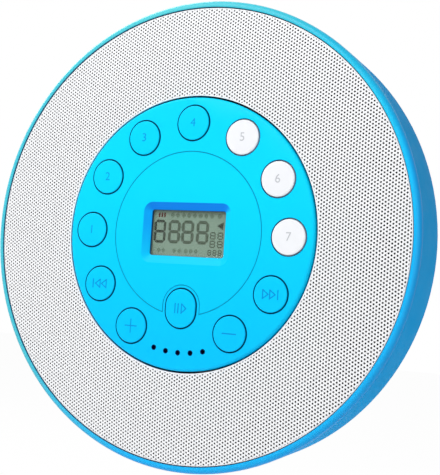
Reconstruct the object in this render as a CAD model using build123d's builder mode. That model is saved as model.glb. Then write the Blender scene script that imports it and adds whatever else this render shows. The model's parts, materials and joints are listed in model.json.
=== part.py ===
from build123d import *
from math import cos, radians, sin
import os

os.makedirs("parts", exist_ok=True)

# A round wall-hung disc player. Lengths are millimetres. X is to the right and Z is up as one
# faces it, and Y runs from the front to the wall, which is the plane Y = 0. A depth is measured
# from the face of the control panel towards the wall.

# Case
case_radius = 125.0
case_taper = 1.5
body_depth = 41.0
wall = 2.2
rear_round = 3.0
pad_proud = 1.2
parting_depth = 6.5
seam_width = 0.35
seam_depth = 0.5
spigot_length = 3.5
slip = 0.15

# Bezel and grille
bezel_width = 4.1
bezel_front = 2.9
bezel_round = 3.2
grille_sheet = 0.6
grille_inner_depth = 1.2
grille_outer_depth = 3.4
grille_bulge = 0.35
baffle_front = 6.0
baffle_thickness = 2.0
rib_thickness = 1.2
rib_count = 12
rib_gap = 0.3
rib_end_gap = 2.0
collar_seat_gap = 0.2
speaker_hole_margin = 1.0

# Lid, which is the control panel
lid_radius = 72.2
lid_gap = 1.0
lid_skin = 2.0
lid_edge_round = 1.6
skirt_thickness = 2.0
lid_depth = 12.6
lid_back_thickness = 1.6
collar_thickness = 2.0

# Hinge at the top of the lid
hinge_drop = 4.6
hinge_depth = 2.0
hinge_pin_radius = 0.75
knuckle_radius = 1.4
knuckle_start = 8.0
knuckle_width = 3.5
knuckle_root = 0.5
lug_width = 3.5
hinge_side_gap = 0.5
lug_gap = 0.4
heel_gap = 0.4
running_gap = 0.05

# Display plate and window
plate_edge = 28.95
plate_thickness = 1.6
plate_seam = 0.15
ledge_width = 2.8
ledge_thickness = 1.6
window_width = 43.8
window_height = 24.2
window_offset = -0.5
window_depth = 2.4
window_bevel = 4.2
window_corner = 1.3
window_wall = 1.0
lens_thickness = 1.0
display_margin = 3.2

# Keys
key_edge = 13.8
key_radius = 9.1
key_gap = 0.6
key_proud = 0.75
key_travel = 0.8
key_edge_round = 0.6
key_flange = 1.5
key_flange_thickness = 1.0
key_flange_gap = 0.3
stem_radius = 2.2
stem_length = 1.2
play_key_width = 17.5
play_key_height = 20.3
play_key_inset = 3.75
play_key_land = 2.1
microphone_hole_radius = 1.1
microphone_edge = 9.6
microphone_pitch = 6.7

# Boards in the lid
switch_side = 6.0
switch_height = 1.1
plunger_radius = 1.6
plunger_height = 0.8
board_thickness = 1.6
key_board_margin = 3.6
lid_boss_edge = 5.7
microphone_radius = 3.0
microphone_length = 2.5
post_edge = 22.2
post_radius = 2.2
boss_radius = 3.0

# Disc and deck
disc_diameter = 120.0
disc_thickness = 1.2
disc_depth = 15.4
disc_floor_gap = 2.6
well_clearance = 1.5
deck_thickness = 2.0
deck_rim_depth = 13.2
rim_ledge_width = 3.4
scoop_radius = 9.0
scoop_inset = 4.0
deck_screw_start = 30.0
deck_hole_radius = 9.0

# Turntable
turntable_radius = 15.0
turntable_thickness = 2.0
hub_radius = 7.3
hub_height = 1.9
hub_taper = 0.8
sleeve_radius = 4.0
ball_radius = 1.2
spindle_radius = 1.0
motor_radius = 12.2
motor_length = 9.5

# Pickup sled on its rails
chassis_thickness = 1.2
chassis_gap = 1.8
rail_radius = 1.5
rail_spread = 32.0
rail_drop = 5.4
lens_radius = 4.0
lens_inner = 24.0
sled_travel = 34.0
sled_length = 18.0
bush_length = 12.0
screw_radius = 1.5
screw_offset = 24.0
sled_motor_radius = 5.0
sled_motor_length = 16.0
sled_motor_end = 10.0
screw_entry = 3.0
nut_length = 10.0
lens_block_length = 10.0
lens_block_width = 16.0
lens_height = 1.4
pickup_rise = 0.6
sled_gap = 1.0
sled_wall = 2.0
sled_margin = 3.0
chassis_start = -36.0
chassis_height = 76.0
chassis_corner = 6.0
chassis_lip = 3.0
tab_inner_gap = 2.8
tab_edge = 1.5
damper_bore = 1.7
damper_waist = 3.0
damper_flange = 4.5
damper_screw_head = 3.5
damper_places = [(-28.0, 28.0), (-28.0, -28.0), (50.0, 33.0), (50.0, -33.0)]

# Latch at the lower edge of the lid
latch_width = 10.0
latch_height = 4.2
latch_length = 12.8
latch_pocket = 4.2
striker_width = 8.0
striker_thickness = 2.5
striker_length = 4.4
plunger_stem = 0.9
plunger_tip_inset = 1.0
plunger_end_gap = 2.0
latch_side_wall = 1.5
latch_end_wall = 1.0

# Loudspeakers
speaker_radius = 22.0
cone_radius = 17.0
speaker_depth = 17.0
magnet_radius = 13.5
magnet_thickness = 6.6
basket_sheet = 1.0
basket_window = 12.0
voice_coil_radius = 6.0
cone_sheet = 0.6
surround_width = 3.0
basket_floor_inset = 2.0
basket_floor_draft = 1.2
coil_length = 4.0
dust_cap_rise = 2.0

# Fasteners
case_screw_edge = 9.0
case_screw_count = 8
case_screw_start = 22.5
screw_shank_radius = 1.3
case_screw_length = 8.0
deck_screw_length = 6.0
lid_screw_length = 7.0
small_shank_radius = 0.9
small_screw_length = 4.0
case_boss_radius = 4.2
case_boss_end = 14.0
boss_web = 3.0

# Ports in a recess on the left side
bay_recess = 6.0
bay_half_height = 33.0
bay_rise = 2.5
bay_width = 11.0
board_standoff = 2.7
board_edge_gap = 0.6
main_board_width = 38.0
main_board_height = 60.0
post_inset = 4.0
chip_height = 1.5
port_gap = 0.8
jack_body = 5.0
usb_width = 13.2
usb_height = 5.7
usb_length = 14.0
charging_width = 9.0
charging_height = 3.2
charging_length = 7.3
card_width = 12.0
card_height = 1.8
card_length = 13.0
card_wall = 0.5
socket_shell = 0.4
switch_body = 4.0
switch_body_length = 7.0
switch_body_depth = 6.0
slider_flange = 0.75
slider_length = 3.0
slider_width = 2.2
slider_proud = 1.5
jack_radius = 1.8
jack_length = 12.0
jack_hole_margin = 0.3
jack_end_wall = 1.5
slider_travel = 3.0

# Battery
battery_width = 66.0
battery_height = 34.0
battery_thickness = 10.0
battery_edge = 29.0
fence = 1.6

# Wall fixing and vents
vent_x = 38.0
vent_count = 7
vent_pitch = 5.0
vent_length = 34.0
vent_width = 2.2
keyhole_spacing = 120.0
keyhole_height = 50.0
keyhole_head_radius = 4.0
keyhole_slot_radius = 2.1
keyhole_rise = 8.0
pad_radius = 6.0
pad_edge = 20.0
pad_seat = 0.6

# Sizes that follow. What stands in from the rim of the lid or of the case keeps its distance to it.
plate_radius = lid_radius - plate_edge
key_circle = lid_radius - key_edge
play_key_drop = plate_radius - play_key_inset
microphone_circle = lid_radius - microphone_edge
lid_boss_circle = lid_radius - lid_boss_edge
post_circle = lid_radius - post_edge
case_screw_circle = case_radius - case_screw_edge
battery_drop = case_radius - battery_edge
pad_circle = case_radius - pad_edge
front = body_depth + pad_proud
rear_inner = body_depth - wall
grille_outer = case_radius - bezel_width
grille_inner = lid_radius + lid_gap
collar_inner = grille_inner + 0.1
collar_outer = collar_inner + collar_thickness
baffle_back = baffle_front + baffle_thickness
speaker_x = (collar_outer + grille_outer) / 2
hinge_z = lid_radius - hinge_drop
pin_length = knuckle_width + hinge_side_gap + lug_width
knuckle_x = knuckle_start + knuckle_width / 2
lug_x = knuckle_start + pin_length - lug_width / 2
notch_x = knuckle_start + pin_length / 2
notch_width = pin_length + 3 * hinge_side_gap
skirt_end = lid_depth - lid_back_thickness
stem_end = lid_skin + key_flange_gap + key_flange_thickness + stem_length
board_front = stem_end + key_travel + slip + plunger_height + switch_height
key_board_radius = key_circle + key_board_margin
board_back = board_front + board_thickness
lens_front = window_depth + window_wall
notch_floor = hinge_z - 2 * knuckle_radius - hinge_side_gap
well_radius = disc_diameter / 2 + well_clearance
disc_back = disc_depth + disc_thickness
floor_front = disc_back + disc_floor_gap
floor_back = floor_front + deck_thickness
rim_back = deck_rim_depth + deck_thickness
deck_radius = collar_inner - 0.4
chassis_front = floor_back + chassis_gap
chassis_back = chassis_front + chassis_thickness
rail_depth = chassis_back + rail_drop
post_end = chassis_back + chassis_gap + slip
ledge_radius = collar_inner - rim_ledge_width
latch_z = (well_radius + deck_thickness + ledge_radius) / 2
lens_block_front = floor_front + pickup_rise
screw_head_radius = 2 * screw_shank_radius
bay_floor = -(case_radius - bay_recess)
board_depth = rear_inner - board_standoff - board_thickness
bay_depth = board_depth - bay_rise


def face(depth):
    """A plane parallel to the wall, looking at the front: its x is X and its y is Z."""
    return Plane(origin=(0, depth - front, 0), x_dir=(1, 0, 0), z_dir=(0, -1, 0))


def section(angle=0.0, x=0.0):
    """A plane through the player's axis, or one beside it: its x is radius, its y is depth."""
    turn = radians(angle)
    return Plane(origin=(x, -front, 0), x_dir=(cos(turn), 0, sin(turn)), z_dir=(-sin(turn), 0, cos(turn)))


def side(x):
    """A plane seen from the right: its x is Z and its y is depth."""
    return Plane(origin=(x, -front, 0), x_dir=(0, 0, 1), z_dir=(-1, 0, 0))


def at(angle, radius):
    """X and Z of a point on a circle about the player's axis."""
    return radius * cos(radians(angle)), radius * sin(radians(angle))


def around(radius, count, start):
    """Points spaced evenly on a circle about the player's axis."""
    return [at(start + 360 * n / count, radius) for n in range(count)]


def corner(sketch, x, y):
    """The corner of a sketch that lies nearest a point."""
    return sketch.vertices().sort_by_distance((x, y, 0))[0]


def grille_depth(radius):
    """Depth of the grille's outer face: a chord that bulges slightly to the front."""
    share = (radius - grille_inner) / (grille_outer - grille_inner)
    chord = grille_inner_depth + share * (grille_outer_depth - grille_inner_depth)
    return chord - 4 * grille_bulge * share * (1 - share)


def grille_arc(behind, start, end):
    """An arc that follows the grille at a distance behind its outer face."""
    points = [(radius, grille_depth(radius) + behind) for radius in (start, (start + end) / 2, end)]
    return ThreePointArc(*points)


def rear_plane(depth):
    """A plane parallel to the wall, looking at the wall."""
    return Plane(origin=(0, depth - front, 0), x_dir=(-1, 0, 0), z_dir=(0, 1, 0))


def play_key_shape(margin, mode=Mode.ADD):
    return SlotOverall(play_key_height + 2 * margin, play_key_width + 2 * margin, rotation=90, mode=mode)


def screws(depth, places, shank, length, toward=1, head=2.0, flat=False):
    """Screws with heads at a depth, towards the front or the rear. A flat head is sunk."""
    with BuildPart() as group:
        with BuildSketch(face(depth)):
            with Locations(*places):
                Circle(head * shank)
        if flat:
            extrude(amount=-toward * (head - 1) * shank, taper=45)
        else:
            extrude(amount=toward * shank)
        with BuildSketch(face(depth)):
            with Locations(*places):
                Circle(shank)
        extrude(amount=-toward * length)
    return group


def save(piece, name):
    piece.part.label = name
    export_step(piece.part, f"parts/{name}.step")


# Keys by their place on the clock, and the screws of the deck
clock = {"blue_key_12": 90, "white_key_1": 60, "white_key_2": 30, "white_key_3": 0, "next_key": -30,
         "quieter_key": -60, "louder_key": -120, "previous_key": -150, "blue_key_9": 180,
         "blue_key_10": 150, "blue_key_11": 120}
key_places = {name: at(angle, key_circle) for name, angle in clock.items()}
deck_screw_places = around(latch_z, 4, deck_screw_start)

# Front frame: bezel, baffle that carries the speakers, and the collar round the lid
lip_radius = grille_outer + 2 * slip
shell_inner = case_radius - wall
spigot_outer = shell_inner - slip
spigot_end = spigot_outer - case_taper * spigot_length / (rear_inner - parting_depth)
with BuildPart() as front_frame:
    with BuildSketch(section()) as frame_profile:
        with BuildLine():
            Polyline(
                (lip_radius, baffle_front),
                (lip_radius, bezel_front),
                (case_radius, bezel_front),
                (case_radius, parting_depth - seam_width),
                (case_radius - seam_depth, parting_depth - seam_width),
                (case_radius - seam_depth, parting_depth),
                (spigot_outer, parting_depth),
                (spigot_end, parting_depth + spigot_length),
                (spigot_end - wall, parting_depth + spigot_length),
                (spigot_end - wall, baffle_back),
                (collar_outer, baffle_back),
                (collar_outer, rim_back + deck_thickness),
                (ledge_radius, rim_back + deck_thickness),
                (ledge_radius, rim_back),
                (collar_inner, rim_back),
                (collar_inner, grille_inner_depth + grille_sheet + collar_seat_gap),
                (collar_outer, grille_inner_depth + grille_sheet + collar_seat_gap),
                (collar_outer, baffle_front),
                close=True,
            )
        make_face()
        fillet(corner(frame_profile, case_radius, bezel_front), bezel_round)
        fillet(corner(frame_profile, lip_radius, bezel_front), 2 * slip)
    revolve(axis=Axis.Y)
    with BuildSketch(face(baffle_front)):
        with Locations((-speaker_x, 0), (speaker_x, 0)):
            Circle(cone_radius + speaker_hole_margin)
    extrude(amount=-baffle_thickness, mode=Mode.SUBTRACT)
    for rib in range(rib_count):
        rib_start = collar_outer + rib_end_gap
        rib_end = grille_outer - rib_end_gap
        with BuildSketch(section((rib + 0.5) * 360 / rib_count)):
            with BuildLine():
                top = grille_arc(grille_sheet + rib_gap, rib_start, rib_end)
                Polyline(top @ 1, (rib_end, baffle_front), (rib_start, baffle_front), top @ 0)
            make_face()
        extrude(amount=rib_thickness / 2, both=True)
    with BuildSketch(face(baffle_back)):
        with PolarLocations(case_screw_circle, case_screw_count, start_angle=case_screw_start):
            Circle(case_boss_radius)
            Circle(screw_shank_radius, mode=Mode.SUBTRACT)
    extrude(amount=baffle_back - case_boss_end)
    with BuildSketch(face(rim_back)):
        with PolarLocations(latch_z + deck_thickness, 4, start_angle=deck_screw_start):
            SlotCenterToCenter(2 * deck_thickness, 2 * screw_head_radius)
        with PolarLocations(latch_z, 4, start_angle=deck_screw_start):
            Circle(screw_shank_radius, mode=Mode.SUBTRACT)
    extrude(amount=deck_thickness - deck_screw_length)
save(front_frame, "front_frame")

# Speaker grille: a dished ring with a hem at each edge
with BuildPart() as speaker_grille:
    with BuildSketch(section()) as grille_profile:
        hem = grille_sheet
        with BuildLine():
            outer_skin = grille_arc(0, grille_inner, grille_outer)
            inner_skin = grille_arc(grille_sheet, grille_inner + hem, grille_outer - hem)
            Polyline(outer_skin @ 1, (grille_outer, baffle_front), (grille_outer - hem, baffle_front),
                     inner_skin @ 1)
            Polyline(inner_skin @ 0, (grille_inner + hem, grille_inner_depth + hem + collar_seat_gap),
                     (grille_inner, grille_inner_depth + hem + collar_seat_gap), outer_skin @ 0)
        make_face()
        fillet(corner(grille_profile, grille_outer, grille_outer_depth), 0.8 * hem)
    revolve(axis=Axis.Y)
save(speaker_grille, "speaker_grille")

# Rear shell: side wall and back in one moulding
rear_radius = case_radius - case_taper
bay_near = bay_depth - bay_width / 2
bay_far = bay_depth + bay_width / 2
board_left = bay_floor + wall + board_edge_gap
board_centre = board_left + main_board_width / 2
main_post_columns = (board_left + usb_length + post_radius, board_left + main_board_width - post_inset)
main_post_rows = (post_inset - main_board_height / 2, main_board_height / 2 - post_inset)
main_post_places = [(x, z) for x in main_post_columns for z in main_post_rows]
port_z = {"jack": 26.0, "usb": 12.0, "charging": -1.5, "card": -14.2, "power": -25.8}
with BuildPart() as shell_hollow:
    with BuildSketch(section()) as hollow_profile:
        with BuildLine():
            Polyline(
                (0, parting_depth - wall),
                (shell_inner, parting_depth - wall),
                (shell_inner, parting_depth),
                (rear_radius - wall, rear_inner),
                (0, rear_inner),
                close=True,
            )
        make_face()
        fillet(corner(hollow_profile, rear_radius - wall, rear_inner), rear_round - wall / 2)
    revolve(axis=Axis.Y)
    # The walls of the port recess stand in the hollow
    with BuildSketch(face(body_depth)):
        with Locations((bay_floor - wall / 2, 0)):
            Rectangle(3 * wall, 2 * bay_half_height + 4 * wall)
    extrude(amount=body_depth - bay_near + wall, mode=Mode.SUBTRACT)

with BuildPart() as rear_shell:
    with BuildSketch(section()) as shell_profile:
        with BuildLine():
            Polyline((0, body_depth), (rear_radius, body_depth), (case_radius, parting_depth),
                     (0, parting_depth), close=True)
        make_face()
        fillet(corner(shell_profile, rear_radius, body_depth), rear_round)
    revolve(axis=Axis.Y)
    add(shell_hollow.part, mode=Mode.SUBTRACT)
    with BuildSketch(face(bay_far)):
        with Locations((bay_floor - bay_recess, 0)):
            Rectangle(2 * bay_recess, 2 * bay_half_height)
    extrude(amount=bay_width, mode=Mode.SUBTRACT)
    with BuildSketch(side(bay_floor)):
        with Locations((port_z["jack"], board_depth - jack_body / 2)):
            Circle(jack_body / 2 + jack_hole_margin)
        with Locations((port_z["usb"], board_depth - usb_height / 2)):
            Rectangle(usb_width + port_gap, usb_height + port_gap)
        with Locations((port_z["charging"], board_depth - charging_height / 2)):
            SlotOverall(charging_width + port_gap, charging_height + port_gap)
        with Locations((port_z["card"], board_depth - card_height / 2)):
            Rectangle(card_width + port_gap, card_height + port_gap / 2)
        with Locations((port_z["power"], board_depth - switch_body / 2)):
            Rectangle(slider_length + slider_travel + port_gap, slider_width + port_gap)
    extrude(amount=-wall, mode=Mode.SUBTRACT)
    # Screw bosses that meet the frame's, each with a deep hole for the screw's head
    with BuildSketch(face(rear_inner)):
        with PolarLocations(case_screw_circle, case_screw_count, start_angle=case_screw_start):
            Circle(case_boss_radius)
    extrude(amount=rear_inner - case_boss_end)
    with BuildSketch(face(body_depth)):
        with PolarLocations(case_screw_circle, case_screw_count, start_angle=case_screw_start):
            Circle(screw_head_radius + 2 * slip)
    extrude(amount=body_depth - case_boss_end - boss_web, mode=Mode.SUBTRACT)
    with BuildSketch(face(body_depth)):
        with PolarLocations(case_screw_circle, case_screw_count, start_angle=case_screw_start):
            Circle(screw_shank_radius + slip)
    extrude(amount=body_depth - case_boss_end, mode=Mode.SUBTRACT)
    # Posts for the main board and a low fence round the battery
    with BuildSketch(face(rear_inner)):
        with Locations(*main_post_places):
            Circle(post_radius)
            Circle(small_shank_radius, mode=Mode.SUBTRACT)
    extrude(amount=board_standoff)
    with BuildSketch(face(rear_inner)):
        with Locations((0, -battery_drop)):
            Rectangle(battery_width + 2 * fence + 4 * slip, battery_height + 2 * fence + 4 * slip)
            Rectangle(battery_width + 4 * slip, battery_height + 4 * slip, mode=Mode.SUBTRACT)
            Rectangle(battery_width / 2, battery_height * 2, mode=Mode.SUBTRACT)
            Rectangle(battery_width * 2, battery_height / 2, mode=Mode.SUBTRACT)
    extrude(amount=battery_thickness / 2)
    # Keyholes for two wall screws, seats for the pads, and slots that let the speakers breathe
    with BuildSketch(face(body_depth)):
        with Locations((-keyhole_spacing / 2, keyhole_height), (keyhole_spacing / 2, keyhole_height)):
            Circle(keyhole_head_radius)
        with Locations((-keyhole_spacing / 2, keyhole_height + keyhole_rise / 2),
                       (keyhole_spacing / 2, keyhole_height + keyhole_rise / 2)):
            SlotCenterToCenter(keyhole_rise, 2 * keyhole_slot_radius, rotation=90)
    extrude(amount=wall, mode=Mode.SUBTRACT)
    with BuildSketch(face(body_depth)):
        with PolarLocations(pad_circle, 4, start_angle=45):
            Circle(pad_radius)
    extrude(amount=pad_seat, mode=Mode.SUBTRACT)
    with BuildSketch(face(body_depth)):
        with Locations((-vent_x, 0), (vent_x, 0)):
            with GridLocations(vent_pitch, vent_pitch, 1, vent_count):
                SlotOverall(vent_length, vent_width)
    extrude(amount=wall, mode=Mode.SUBTRACT)
save(rear_shell, "rear_shell")

with BuildPart() as wall_pads:
    with BuildSketch(face(body_depth - pad_seat)):
        with PolarLocations(pad_circle, 4, start_angle=45):
            Circle(pad_radius)
    extrude(amount=-pad_seat - pad_proud)
    chamfer(wall_pads.faces().sort_by(Axis.Y)[-4:].edges(), pad_seat)
save(wall_pads, "wall_pads")

# Disc deck: the dished well, its rim, the hinge lugs and the posts that carry the mechanism
with BuildPart() as disc_deck:
    with BuildSketch(section()) as deck_profile:
        with BuildLine():
            Polyline(
                (0, floor_front),
                (well_radius, floor_front),
                (well_radius, deck_rim_depth),
                (deck_radius, deck_rim_depth),
                (deck_radius, rim_back),
                (well_radius + deck_thickness, rim_back),
                (well_radius + deck_thickness, floor_back),
                (0, floor_back),
                close=True,
            )
        make_face()
        fillet(corner(deck_profile, well_radius, deck_rim_depth), deck_thickness / 2)
    revolve(axis=Axis.Y)
    # Finger scoops at the well's edge
    for angle in (135, 315):
        with BuildSketch(face(rim_back)):
            with Locations(at(angle, well_radius - scoop_inset)):
                Circle(scoop_radius + deck_thickness)
        extrude(amount=rim_back - floor_back)
        with BuildSketch(face(deck_rim_depth)):
            with Locations(at(angle, well_radius - scoop_inset)):
                Circle(scoop_radius)
        extrude(amount=deck_rim_depth - floor_front, mode=Mode.SUBTRACT)
    # Openings for the turntable and the pickup
    slot_end = lens_inner + sled_travel + lens_block_length / 2 + sled_gap
    slot_start = lens_inner - lens_block_length / 2 - sled_gap
    with BuildSketch(face(floor_front - lens_height)):
        Circle(deck_hole_radius)
        with Locations(((slot_start + slot_end) / 2, 0)):
            Rectangle(slot_end - slot_start, lens_block_width + 2 * sled_gap)
    extrude(amount=floor_front - lens_height - floor_back, mode=Mode.SUBTRACT)
    # Hinge lugs, which reach forward from the rim. Behind the pin they stand below its axis, so
    # that the lid's skin swings clear of them
    for x in (-lug_x, lug_x):
        with BuildSketch(side(x)):
            with Locations((hinge_z, hinge_depth)):
                Circle(knuckle_radius)
            with Locations((hinge_z - knuckle_radius, (hinge_depth + lug_gap + rim_back) / 2)):
                Rectangle(2 * knuckle_radius, rim_back - hinge_depth - lug_gap)
        extrude(amount=lug_width / 2, both=True)
    with BuildSketch(side(-2 * lug_x)):
        with Locations((hinge_z, hinge_depth)):
            Circle(hinge_pin_radius)
    extrude(amount=-4 * lug_x, mode=Mode.SUBTRACT)
    # Posts behind the floor for the dampers, the slot for the latch, and the screw holes
    with BuildSketch(face(floor_back)):
        with Locations(*damper_places):
            Circle(damper_bore)
            Circle(small_shank_radius, mode=Mode.SUBTRACT)
    extrude(amount=floor_back - post_end)
    with BuildSketch(face(deck_rim_depth)):
        with Locations((0, -latch_z)):
            Rectangle(latch_width, latch_height)
    extrude(amount=-deck_thickness, mode=Mode.SUBTRACT)
    with Locations(face(deck_rim_depth)):
        with Locations(*deck_screw_places):
            CounterSinkHole(screw_shank_radius + slip, screw_head_radius, depth=deck_thickness,
                            counter_sink_angle=90)
save(disc_deck, "disc_deck")

# Lid, outer piece: the control panel with its key holes, skirt and hinge knuckles
with BuildPart() as control_panel:
    with BuildSketch(section()) as panel_profile:
        with BuildLine():
            Polyline(
                (0, 0),
                (lid_radius, 0),
                (lid_radius, skirt_end),
                (lid_radius - skirt_thickness, skirt_end),
                (lid_radius - skirt_thickness, lid_skin),
                (plate_radius + ledge_width, lid_skin),
                (plate_radius + ledge_width, plate_thickness + ledge_thickness),
                (0, plate_thickness + ledge_thickness),
                close=True,
            )
        make_face()
        fillet(corner(panel_profile, lid_radius, 0), lid_edge_round)
    revolve(axis=Axis.Y)
    # The seat of the display plate, which leaves a land round the play key
    with BuildSketch(face(0)):
        Circle(plate_radius + plate_seam)
        with Locations((0, -play_key_drop)):
            play_key_shape(play_key_land, mode=Mode.SUBTRACT)
    extrude(amount=-plate_thickness, mode=Mode.SUBTRACT)
    with BuildSketch(face(0)):
        Circle(plate_radius - ledge_width)
        with Locations((0, -play_key_drop)):
            play_key_shape(play_key_land + ledge_width, mode=Mode.SUBTRACT)
    extrude(amount=-plate_thickness - ledge_thickness, mode=Mode.SUBTRACT)
    # Key holes and the microphone's holes
    with BuildSketch(face(0)):
        with Locations(*key_places.values()):
            Circle(key_radius + key_gap)
        with Locations((0, -play_key_drop)):
            play_key_shape(key_gap)
    extrude(amount=-plate_thickness - ledge_thickness, mode=Mode.SUBTRACT)
    with BuildSketch(face(0)):
        with PolarLocations(microphone_circle, 5, start_angle=270 - 2 * microphone_pitch,
                            angular_range=4 * microphone_pitch, endpoint=True):
            Circle(microphone_hole_radius)
    extrude(amount=-lid_skin, mode=Mode.SUBTRACT)
    # The skirt is open where the deck's lugs swing through it, and two knuckles stand there
    with BuildSketch(face(lid_skin)):
        with Locations((-notch_x, lid_radius), (notch_x, lid_radius)):
            Rectangle(notch_width, 2 * (lid_radius - notch_floor))
    extrude(amount=lid_skin - lid_depth, mode=Mode.SUBTRACT)
    with BuildSketch(side(-notch_x - notch_width / 2)):
        with Locations((hinge_z, hinge_depth)):
            Circle(knuckle_radius + 2 * slip)
    extrude(amount=-notch_width, mode=Mode.SUBTRACT)
    with BuildSketch(side(notch_x + notch_width / 2)):
        with Locations((hinge_z, hinge_depth)):
            Circle(knuckle_radius + 2 * slip)
    extrude(amount=notch_width, mode=Mode.SUBTRACT)
    for x in (-knuckle_x, knuckle_x):
        with BuildSketch(side(x)):
            with Locations((hinge_z, hinge_depth)):
                Circle(knuckle_radius)
            with Locations((hinge_z, (hinge_depth + knuckle_root) / 2)):
                Rectangle(2 * knuckle_radius, hinge_depth - knuckle_root)
            with Locations((hinge_z, hinge_depth)):
                Circle(hinge_pin_radius + running_gap, mode=Mode.SUBTRACT)
        extrude(amount=knuckle_width / 2, both=True)
    # Bosses for the lid's back and posts for the key board
    with BuildSketch(face(lid_skin)):
        with PolarLocations(lid_boss_circle, 4, start_angle=45):
            Circle(boss_radius)
            Circle(screw_shank_radius, mode=Mode.SUBTRACT)
    extrude(amount=lid_skin - skirt_end)
    with BuildSketch(face(lid_skin)):
        with PolarLocations(post_circle, 4, start_angle=45):
            Circle(post_radius)
            Circle(small_shank_radius, mode=Mode.SUBTRACT)
    extrude(amount=lid_skin - board_front)
save(control_panel, "control_panel")

with BuildPart() as display_plate:
    with BuildSketch(face(0)):
        Circle(plate_radius)
        with Locations((0, -play_key_drop)):
            play_key_shape(play_key_land + plate_seam, mode=Mode.SUBTRACT)
    extrude(amount=-plate_thickness)
    with BuildSketch(face(plate_thickness)):
        with Locations((window_offset, 0)):
            RectangleRounded(window_width + window_bevel, window_height + window_bevel, window_corner)
    extrude(amount=plate_thickness - lens_front)
    with BuildSketch(face(0)):
        with Locations((window_offset, 0)):
            RectangleRounded(window_width + 2 * window_bevel, window_height + 2 * window_bevel,
                             window_corner + window_bevel)
    with BuildSketch(face(window_depth)):
        with Locations((window_offset, 0)):
            RectangleRounded(window_width, window_height, window_corner)
    loft(mode=Mode.SUBTRACT)
    with BuildSketch(face(window_depth)):
        with Locations((window_offset, 0)):
            RectangleRounded(window_width, window_height, window_corner)
    extrude(amount=window_depth - lens_front, mode=Mode.SUBTRACT)
save(display_plate, "display_plate")

with BuildPart() as display_window:
    with BuildSketch(face(lens_front)):
        with Locations((window_offset, 0)):
            RectangleRounded(window_width + window_bevel / 2, window_height + window_bevel / 2,
                             window_corner)
    extrude(amount=-lens_thickness)
save(display_window, "display_window")

with BuildPart() as display_module:
    with BuildSketch(face(lens_front + lens_thickness)):
        with Locations((window_offset, 0)):
            Rectangle(window_width + 2 * display_margin, window_height + 2 * display_margin)
    extrude(amount=lens_front + lens_thickness - board_front)
save(display_module, "display_module")

with BuildPart() as key_board:
    with BuildSketch(face(board_front)):
        Circle(key_board_radius)
        with PolarLocations(post_circle, 4, start_angle=45):
            Circle(small_shank_radius + slip, mode=Mode.SUBTRACT)
    extrude(amount=-board_thickness)
save(key_board, "key_board")

switch_places = list(key_places.values()) + [(0, -play_key_drop)]
with BuildPart() as key_switches:
    with BuildSketch(face(board_front)):
        with Locations(*switch_places):
            Rectangle(switch_side, switch_side)
    extrude(amount=switch_height)
    with BuildSketch(face(board_front - switch_height)):
        with Locations(*switch_places):
            Circle(plunger_radius)
    extrude(amount=plunger_height)
save(key_switches, "key_switches")

with BuildPart() as microphone:
    with BuildSketch(face(lid_skin)):
        with Locations((0, -microphone_circle)):
            Circle(microphone_radius)
    extrude(amount=-microphone_length)
save(microphone, "microphone")

with BuildPart() as lid_back:
    with BuildSketch(face(skirt_end)):
        Circle(lid_radius - 4 * slip)
        with Locations((-notch_x, lid_radius), (notch_x, lid_radius)):
            Rectangle(notch_width, 2 * (lid_radius - notch_floor), mode=Mode.SUBTRACT)
    extrude(amount=-lid_back_thickness)
    # The heel above the hinge is cut on an arc about the pins, so that it swings past the deck's rim
    with BuildSketch(side(-lid_radius)):
        with Locations((hinge_z + lid_radius / 2, lid_depth)):
            Rectangle(lid_radius, lid_depth)
        with Locations((hinge_z, hinge_depth)):
            Circle(deck_rim_depth - heel_gap - hinge_depth, mode=Mode.SUBTRACT)
    extrude(amount=-2 * lid_radius, mode=Mode.SUBTRACT)
    with BuildSketch(face(lid_depth)):
        with Locations((0, -latch_z)):
            Rectangle(striker_width, striker_thickness)
    extrude(amount=-striker_length)
    with Locations(rear_plane(lid_depth)):
        with PolarLocations(lid_boss_circle, 4, start_angle=45):
            CounterSinkHole(screw_shank_radius + slip, screw_head_radius, depth=lid_back_thickness,
                            counter_sink_angle=90)
save(lid_back, "lid_back")


# Keys: a cap through the panel, a flange that stops it behind, and a stem over its switch
def shape_key(name, place, outline, back=lid_skin):
    cap_end = back + key_flange_gap
    flange_end = cap_end + key_flange_thickness
    with BuildPart() as key:
        with BuildSketch(face(-key_proud)):
            with Locations(place):
                outline(0)
        extrude(amount=-key_proud - cap_end)
        fillet(key.faces().sort_by(Axis.Y)[0].edges(), key_edge_round)
        with BuildSketch(face(cap_end)):
            with Locations(place):
                outline(key_flange)
        extrude(amount=-key_flange_thickness)
        if stem_end > flange_end:
            with BuildSketch(face(flange_end)):
                with Locations(place):
                    Circle(stem_radius)
            extrude(amount=flange_end - stem_end)
    save(key, name)


def round_key_shape(margin):
    return Circle(key_radius + margin)


for name, place in key_places.items():
    shape_key(name, place, round_key_shape)
shape_key("play_key", (0, -play_key_drop), play_key_shape, plate_thickness + ledge_thickness)


# Turntable with its spindle, and three balls in the hub that hold the disc
turntable_back = disc_back + turntable_thickness
hub_front = disc_back - hub_height
ball_places = [(x, disc_depth - front, z) for x, z in around(hub_radius - ball_radius / 2, 3, 90)]
with BuildPart() as turntable:
    with BuildSketch(section()) as turntable_profile:
        with BuildLine():
            Polyline(
                (spindle_radius, hub_front),
                (hub_radius - hub_taper, hub_front),
                (hub_radius, hub_front + hub_taper),
                (hub_radius, disc_back),
                (turntable_radius, disc_back),
                (turntable_radius, turntable_back),
                (sleeve_radius, turntable_back),
                (sleeve_radius, chassis_front - slip),
                (spindle_radius, chassis_front - slip),
                close=True,
            )
        make_face()
    revolve(axis=Axis.Y)
    with Locations(*ball_places):
        Sphere(ball_radius + running_gap, mode=Mode.SUBTRACT)
save(turntable, "turntable")

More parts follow.
